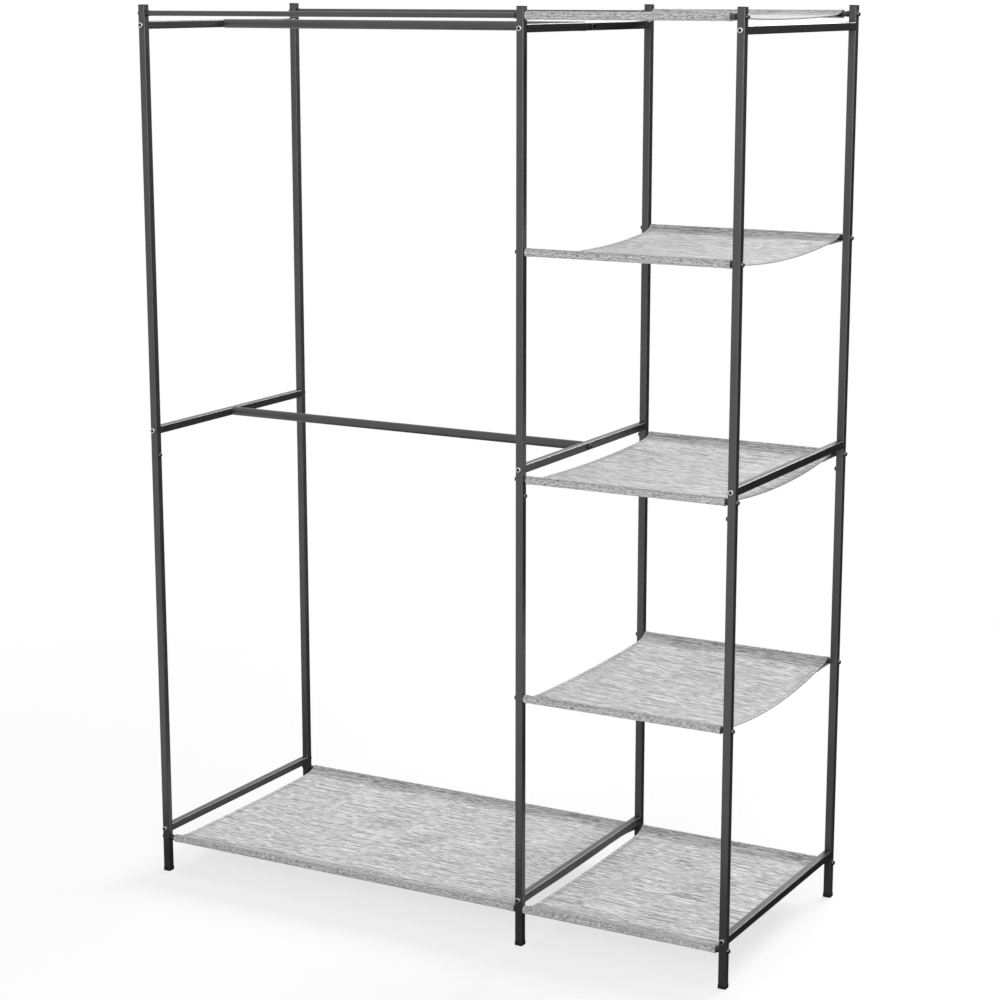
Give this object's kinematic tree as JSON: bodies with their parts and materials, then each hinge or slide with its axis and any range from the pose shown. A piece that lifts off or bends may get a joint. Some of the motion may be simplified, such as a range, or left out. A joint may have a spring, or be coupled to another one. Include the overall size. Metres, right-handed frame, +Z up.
{
  "type": "open frame wardrobe",
  "caption": "Open metal-frame wardrobe with a wide bay of hanging rails, a narrow bay of cloth sling shelves and a low cloth sling under the hanging space.",
  "frame": {"origin": "on the floor, under the middle of the wardrobe's box", "axes": "+X to the right across the front, towards the narrow bay, +Y to the rear, +Z up"},
  "size_m": [1.2632, 0.5392, 1.74],
  "materials": {
    "frame_tube": "satin black powder coat on square steel tube",
    "cross_rod": "satin black powder coat on round steel tube",
    "hanging_rail": "satin black powder coat on round steel tube, a little polished on top by hangers",
    "moulded_cap": "moulded black polyethylene, fine matt grain",
    "rod_plug": "moulded black nylon, slightly shiny",
    "screw_steel": "black oxide and plated screws with round heads, glossy",
    "zinc_steel": "zinc-plated steel, hidden inside the tubes",
    "sling_cloth": "light grey heathered polyester with darker slub yarns across the width"
  },
  "bodies": {
    "root": {"foot_left_front": "moulded_cap", "foot_left_rear": "moulded_cap", "foot_middle_front": "moulded_cap", "foot_middle_rear": "moulded_cap", "foot_right_front": "moulded_cap", "foot_right_rear": "moulded_cap", "hanging_rail_inserts": "zinc_steel", "hanging_rail_lower": "hanging_rail", "hanging_rail_screws": "screw_steel", "hanging_rail_upper": "hanging_rail", "joiner_screws": "screw_steel", "narrow_rod_1_front": "cross_rod", "narrow_rod_1_rear": "cross_rod", "narrow_rod_2_front": "cross_rod", "narrow_rod_2_rear": "cross_rod", "narrow_rod_3_front": "cross_rod", "narrow_rod_3_rear": "cross_rod", "narrow_rod_4_front": "cross_rod", "narrow_rod_4_rear": "cross_rod", "narrow_rod_5_front": "cross_rod", "narrow_rod_5_rear": "cross_rod", "narrow_sling_1": "sling_cloth", "narrow_sling_2": "sling_cloth", "narrow_sling_3": "sling_cloth", "narrow_sling_4": "sling_cloth", "narrow_sling_5": "sling_cloth", "rod_end_plugs": "rod_plug", "rod_screws": "screw_steel", "rod_studs": "zinc_steel", "side_rail_inserts": "zinc_steel", "side_rail_left_low": "frame_tube", "side_rail_left_mid": "frame_tube", "side_rail_left_top": "frame_tube", "side_rail_middle_low": "frame_tube", "side_rail_middle_mid": "frame_tube", "side_rail_middle_top": "frame_tube", "side_rail_right_low": "frame_tube", "side_rail_right_mid": "frame_tube", "side_rail_right_top": "frame_tube", "side_rail_screws": "screw_steel", "top_caps": "moulded_cap", "upright_joiners": "zinc_steel", "upright_left_front_lower": "frame_tube", "upright_left_front_upper": "frame_tube", "upright_left_rear_lower": "frame_tube", "upright_left_rear_upper": "frame_tube", "upright_middle_front_lower": "frame_tube", "upright_middle_front_upper": "frame_tube", "upright_middle_rear_lower": "frame_tube", "upright_middle_rear_upper": "frame_tube", "upright_right_front_lower": "frame_tube", "upright_right_front_upper": "frame_tube", "upright_right_rear_lower": "frame_tube", "upright_right_rear_upper": "frame_tube", "wide_rod_1_front": "cross_rod", "wide_rod_1_rear": "cross_rod", "wide_rod_5_front": "cross_rod", "wide_rod_5_rear": "cross_rod", "wide_sling_1": "sling_cloth"}
  },
  "joints": []
}
